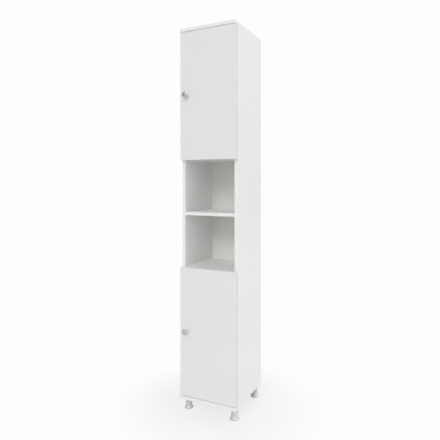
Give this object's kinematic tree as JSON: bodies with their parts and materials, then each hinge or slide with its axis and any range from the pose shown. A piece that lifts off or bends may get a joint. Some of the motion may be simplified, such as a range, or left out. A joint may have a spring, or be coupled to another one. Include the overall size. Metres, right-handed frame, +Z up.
{
  "type": "tall bathroom cabinet",
  "caption": "Tall narrow white bathroom cabinet on short round feet, with a door above and a door below an open niche with a shelf, and round metal knobs.",
  "frame": {"origin": "on the floor, in the middle of the box that the cabinet fills with its doors closed, knobs included", "axes": "+X to the right seen from the front, +Y to the rear, +Z up"},
  "size_m": [0.3, 0.352, 1.88],
  "materials": {
    "board_lacquer": "white satin lacquer on board",
    "door_lacquer": "white satin lacquer on board",
    "hardboard": "white coated hardboard",
    "chrome": "polished chrome",
    "zinc_steel": "bright zinc",
    "nickel_steel": "nickel plated pressed steel",
    "beech": "raw beech",
    "foot_metal": "satin",
    "foot_plastic": "satin silver grey",
    "buffer_rubber": "soft translucent"
  },
  "bodies": {
    "carcass": {"side_panel_left": "board_lacquer", "side_panel_right": "board_lacquer", "top_panel": "board_lacquer", "bottom_panel": "board_lacquer", "niche_floor_panel": "board_lacquer", "niche_ceiling_panel": "board_lacquer", "niche_shelf": "board_lacquer", "upper_shelf": "board_lacquer", "lower_shelf": "board_lacquer", "back_panel": "hardboard", "cam_bolts": "zinc_steel", "cam_housings": "zinc_steel", "wood_dowels": "beech", "shelf_pins": "zinc_steel", "foot_hanger_bolts": "zinc_steel", "hinge_arm_pins": "zinc_steel", "hinge_plate_screws": "zinc_steel", "hinge_arm_screws": "zinc_steel", "foot_shaft_front_left": "foot_metal", "foot_shaft_front_right": "foot_metal", "foot_shaft_rear_left": "foot_metal", "foot_shaft_rear_right": "foot_metal", "upper_bottom_hinge_arm": "nickel_steel", "upper_bottom_mounting_plate": "nickel_steel", "upper_top_hinge_arm": "nickel_steel", "upper_top_mounting_plate": "nickel_steel", "lower_bottom_hinge_arm": "nickel_steel", "lower_bottom_mounting_plate": "nickel_steel", "lower_top_hinge_arm": "nickel_steel", "lower_top_mounting_plate": "nickel_steel"},
    "upper_door_assembly": {"upper_door": "door_lacquer", "upper_knob": "chrome", "upper_knob_screw": "zinc_steel", "upper_door_buffers": "buffer_rubber", "upper_cup_pins": "zinc_steel", "upper_cup_screws": "zinc_steel", "upper_bottom_hinge_cup": "nickel_steel", "upper_top_hinge_cup": "nickel_steel"},
    "upper_outer_links": {"upper_bottom_outer_link": "nickel_steel", "upper_top_outer_link": "nickel_steel"},
    "upper_inner_links": {"upper_bottom_inner_link": "nickel_steel", "upper_top_inner_link": "nickel_steel"},
    "lower_door_assembly": {"lower_door": "door_lacquer", "lower_knob": "chrome", "lower_knob_screw": "zinc_steel", "lower_door_buffers": "buffer_rubber", "lower_cup_pins": "zinc_steel", "lower_cup_screws": "zinc_steel", "lower_bottom_hinge_cup": "nickel_steel", "lower_top_hinge_cup": "nickel_steel"},
    "lower_outer_links": {"lower_bottom_outer_link": "nickel_steel", "lower_top_outer_link": "nickel_steel"},
    "lower_inner_links": {"lower_bottom_inner_link": "nickel_steel", "lower_top_inner_link": "nickel_steel"},
    "foot_front_left": {"foot_base_front_left": "foot_plastic"},
    "foot_front_right": {"foot_base_front_right": "foot_plastic"},
    "foot_rear_left": {"foot_base_rear_left": "foot_plastic"},
    "foot_rear_right": {"foot_base_rear_right": "foot_plastic"}
  },
  "joints": [
    {"name": "upper_outer_link_hinge", "type": "hinge", "parent": "carcass", "child": "upper_outer_links", "pos_m": [0.1213, -0.1192, 1.5485], "axis": [0, 0, 1], "range_deg": [-10.46, 0]},
    {"name": "upper_door_hinge", "type": "hinge", "parent": "upper_outer_links", "child": "upper_door_assembly", "pos_m": [0.1389, -0.1378, 1.5485], "axis": [0, 0, 1], "range_deg": [0, 105.45]},
    {"name": "upper_inner_link_hinge", "type": "hinge", "parent": "upper_door_assembly", "child": "upper_inner_links", "pos_m": [0.1368, -0.1335, 1.5485], "axis": [0, 0, 1], "range_deg": [-120.18, 0]},
    {"name": "lower_outer_link_hinge", "type": "hinge", "parent": "carcass", "child": "lower_outer_links", "pos_m": [0.1213, -0.1192, 0.3915], "axis": [0, 0, 1], "range_deg": [-10.46, 0]},
    {"name": "lower_door_hinge", "type": "hinge", "parent": "lower_outer_links", "child": "lower_door_assembly", "pos_m": [0.1389, -0.1378, 0.3915], "axis": [0, 0, 1], "range_deg": [0, 105.45]},
    {"name": "lower_inner_link_hinge", "type": "hinge", "parent": "lower_door_assembly", "child": "lower_inner_links", "pos_m": [0.1368, -0.1335, 0.3915], "axis": [0, 0, 1], "range_deg": [-120.18, 0]},
    {"name": "foot_front_left_height", "type": "slide", "parent": "carcass", "child": "foot_front_left", "axis": [0, 0, -1], "range_m": [0, 0.015]},
    {"name": "foot_front_right_height", "type": "slide", "parent": "carcass", "child": "foot_front_right", "axis": [0, 0, -1], "range_m": [0, 0.015]},
    {"name": "foot_rear_left_height", "type": "slide", "parent": "carcass", "child": "foot_rear_left", "axis": [0, 0, -1], "range_m": [0, 0.015]},
    {"name": "foot_rear_right_height", "type": "slide", "parent": "carcass", "child": "foot_rear_right", "axis": [0, 0, -1], "range_m": [0, 0.015]}
  ],
  "couplings": [
    {"joint": "upper_outer_link_hinge", "follows": "upper_door_hinge", "ratio": -0.099099},
    {"joint": "upper_inner_link_hinge", "follows": "upper_door_hinge", "ratio": -1.1396},
    {"joint": "lower_outer_link_hinge", "follows": "lower_door_hinge", "ratio": -0.099099},
    {"joint": "lower_inner_link_hinge", "follows": "lower_door_hinge", "ratio": -1.1396}
  ]
}
